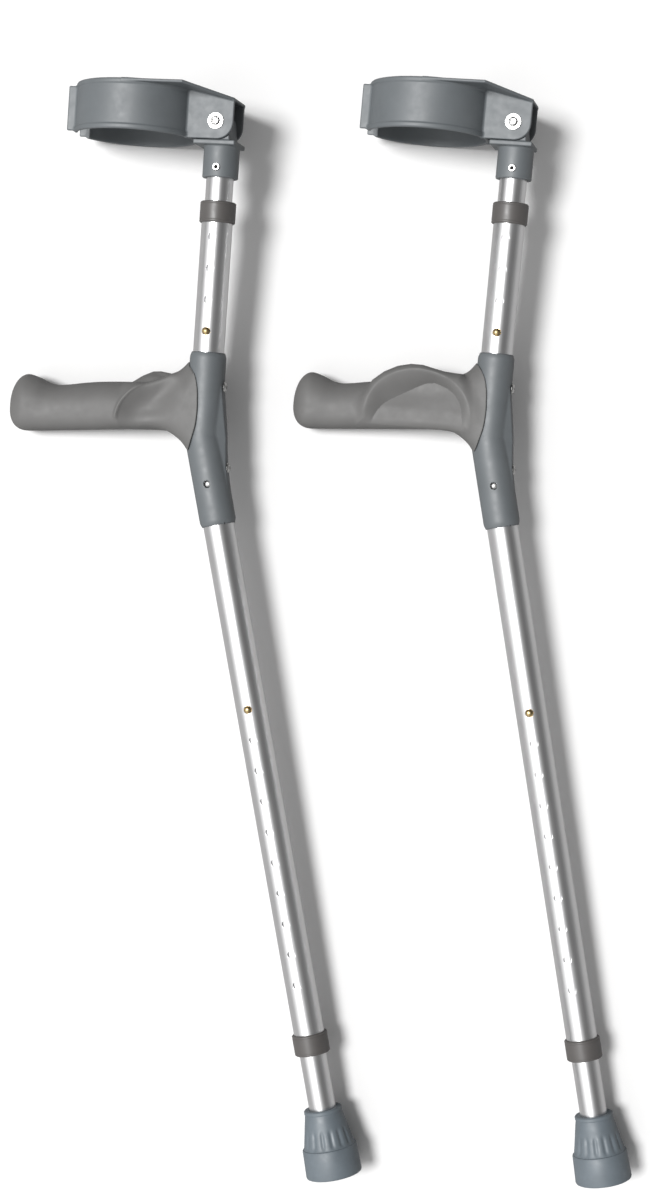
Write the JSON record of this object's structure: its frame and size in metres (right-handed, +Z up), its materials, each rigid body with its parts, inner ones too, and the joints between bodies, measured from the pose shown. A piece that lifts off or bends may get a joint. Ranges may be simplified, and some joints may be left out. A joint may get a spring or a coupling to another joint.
{
  "type": "pair of forearm crutches",
  "caption": "Pair of height-adjustable forearm crutches lying side by side, each with a tilting open cuff, a shaped hand grip and a rubber tip.",
  "frame": {"origin": "centre of the pair's outline on the floor they lie on", "axes": "+Z up from the floor, +Y towards the cuffs along the crutches' length, +X from the right-hand crutch towards the left-hand crutch"},
  "size_m": [0.5112, 0.9018, 0.1119],
  "materials": {
    "housing_plastic": "satin moulded plastic, bluish grey",
    "grip_plastic": "matt moulded plastic, warm mid grey",
    "collar_plastic": "satin moulded plastic, dark warm grey",
    "ferrule_rubber": "matt rubber, blue grey",
    "aluminium": "satin anodised aluminium",
    "rivet_steel": "bright plated steel",
    "button_brass": "plain brass",
    "spring_steel": "dull spring steel"
  },
  "bodies": {
    "handles": {"right_housing": "housing_plastic", "right_grip": "grip_plastic", "right_upper_housing_rivet": "rivet_steel", "right_lower_housing_rivet": "rivet_steel", "right_side_pin": "rivet_steel", "right_upper_tube": "aluminium", "right_upper_collar": "collar_plastic", "right_lower_tube": "aluminium", "right_lower_collar": "collar_plastic", "left_housing": "housing_plastic", "left_grip": "grip_plastic", "left_upper_housing_rivet": "rivet_steel", "left_lower_housing_rivet": "rivet_steel", "left_side_pin": "rivet_steel", "left_upper_tube": "aluminium", "left_upper_collar": "collar_plastic", "left_lower_tube": "aluminium", "left_lower_collar": "collar_plastic"},
    "right_arm_extension": {"right_arm_tube": "aluminium", "right_cuff_socket": "housing_plastic", "right_socket_rivet": "rivet_steel", "right_arm_spring": "spring_steel", "right_cuff_rivet": "rivet_steel", "right_cuff_washer_left": "rivet_steel", "right_cuff_washer_right": "rivet_steel"},
    "right_forearm_cuff": {"right_cuff": "housing_plastic"},
    "right_arm_snap_button": {"right_arm_button": "button_brass"},
    "right_shaft_extension": {"right_shaft_tube": "aluminium", "right_ferrule": "ferrule_rubber", "right_ferrule_washer": "rivet_steel", "right_shaft_spring": "spring_steel"},
    "right_shaft_snap_button": {"right_shaft_button": "button_brass"},
    "left_arm_extension": {"left_arm_tube": "aluminium", "left_cuff_socket": "housing_plastic", "left_socket_rivet": "rivet_steel", "left_arm_spring": "spring_steel", "left_cuff_rivet": "rivet_steel", "left_cuff_washer_left": "rivet_steel", "left_cuff_washer_right": "rivet_steel"},
    "left_forearm_cuff": {"left_cuff": "housing_plastic"},
    "left_arm_snap_button": {"left_arm_button": "button_brass"},
    "left_shaft_extension": {"left_shaft_tube": "aluminium", "left_ferrule": "ferrule_rubber", "left_ferrule_washer": "rivet_steel", "left_shaft_spring": "spring_steel"},
    "left_shaft_snap_button": {"left_shaft_button": "button_brass"}
  },
  "joints": [
    {"name": "right_arm_height", "type": "slide", "parent": "handles", "child": "right_arm_extension", "axis": [0.0715, 0.9941, 0.0817], "range_m": [0, 0.0762], "deforming": ["right_arm_button"]},
    {"name": "right_cuff_tilt", "type": "hinge", "parent": "right_arm_extension", "child": "right_forearm_cuff", "pos_m": [-0.07865, 0.41328, 0.06426], "axis": [0.1867, 0.0672, -0.9801], "range_deg": [0, 20]},
    {"name": "right_arm_button_press", "type": "slide", "parent": "right_arm_extension", "child": "right_arm_snap_button", "axis": [0.1867, 0.0672, -0.9801], "range_m": [0, 0.0042], "stiffness_N_per_m": 2000, "springref_m": -0.002, "deforming": ["right_arm_spring"]},
    {"name": "right_leg_length", "type": "slide", "parent": "handles", "child": "right_shaft_extension", "axis": [0.1744, -0.9841, -0.0342], "range_m": [0, 0.2286], "deforming": ["right_shaft_button"]},
    {"name": "right_shaft_button_press", "type": "slide", "parent": "right_shaft_extension", "child": "right_shaft_snap_button", "axis": [0.1867, 0.0672, -0.9801], "range_m": [0, 0.0042], "stiffness_N_per_m": 2000, "springref_m": -0.002, "deforming": ["right_shaft_spring"]},
    {"name": "left_arm_height", "type": "slide", "parent": "handles", "child": "left_arm_extension", "axis": [0.0923, 0.9924, 0.0817], "range_m": [0, 0.0762], "deforming": ["left_arm_button"]},
    {"name": "left_cuff_tilt", "type": "hinge", "parent": "left_arm_extension", "child": "left_forearm_cuff", "pos_m": [0.16013, 0.41109, 0.06426], "axis": [0.188, 0.0632, -0.9801], "range_deg": [0, 20]},
    {"name": "left_arm_button_press", "type": "slide", "parent": "left_arm_extension", "child": "left_arm_snap_button", "axis": [0.188, 0.0632, -0.9801], "range_m": [0, 0.0042], "stiffness_N_per_m": 2000, "springref_m": -0.002, "deforming": ["left_arm_spring"]},
    {"name": "left_leg_length", "type": "slide", "parent": "handles", "child": "left_shaft_extension", "axis": [0.1537, -0.9875, -0.0342], "range_m": [0, 0.2286], "deforming": ["left_shaft_button"]},
    {"name": "left_shaft_button_press", "type": "slide", "parent": "left_shaft_extension", "child": "left_shaft_snap_button", "axis": [0.188, 0.0632, -0.9801], "range_m": [0, 0.0042], "stiffness_N_per_m": 2000, "springref_m": -0.002, "deforming": ["left_shaft_spring"]}
  ]
}
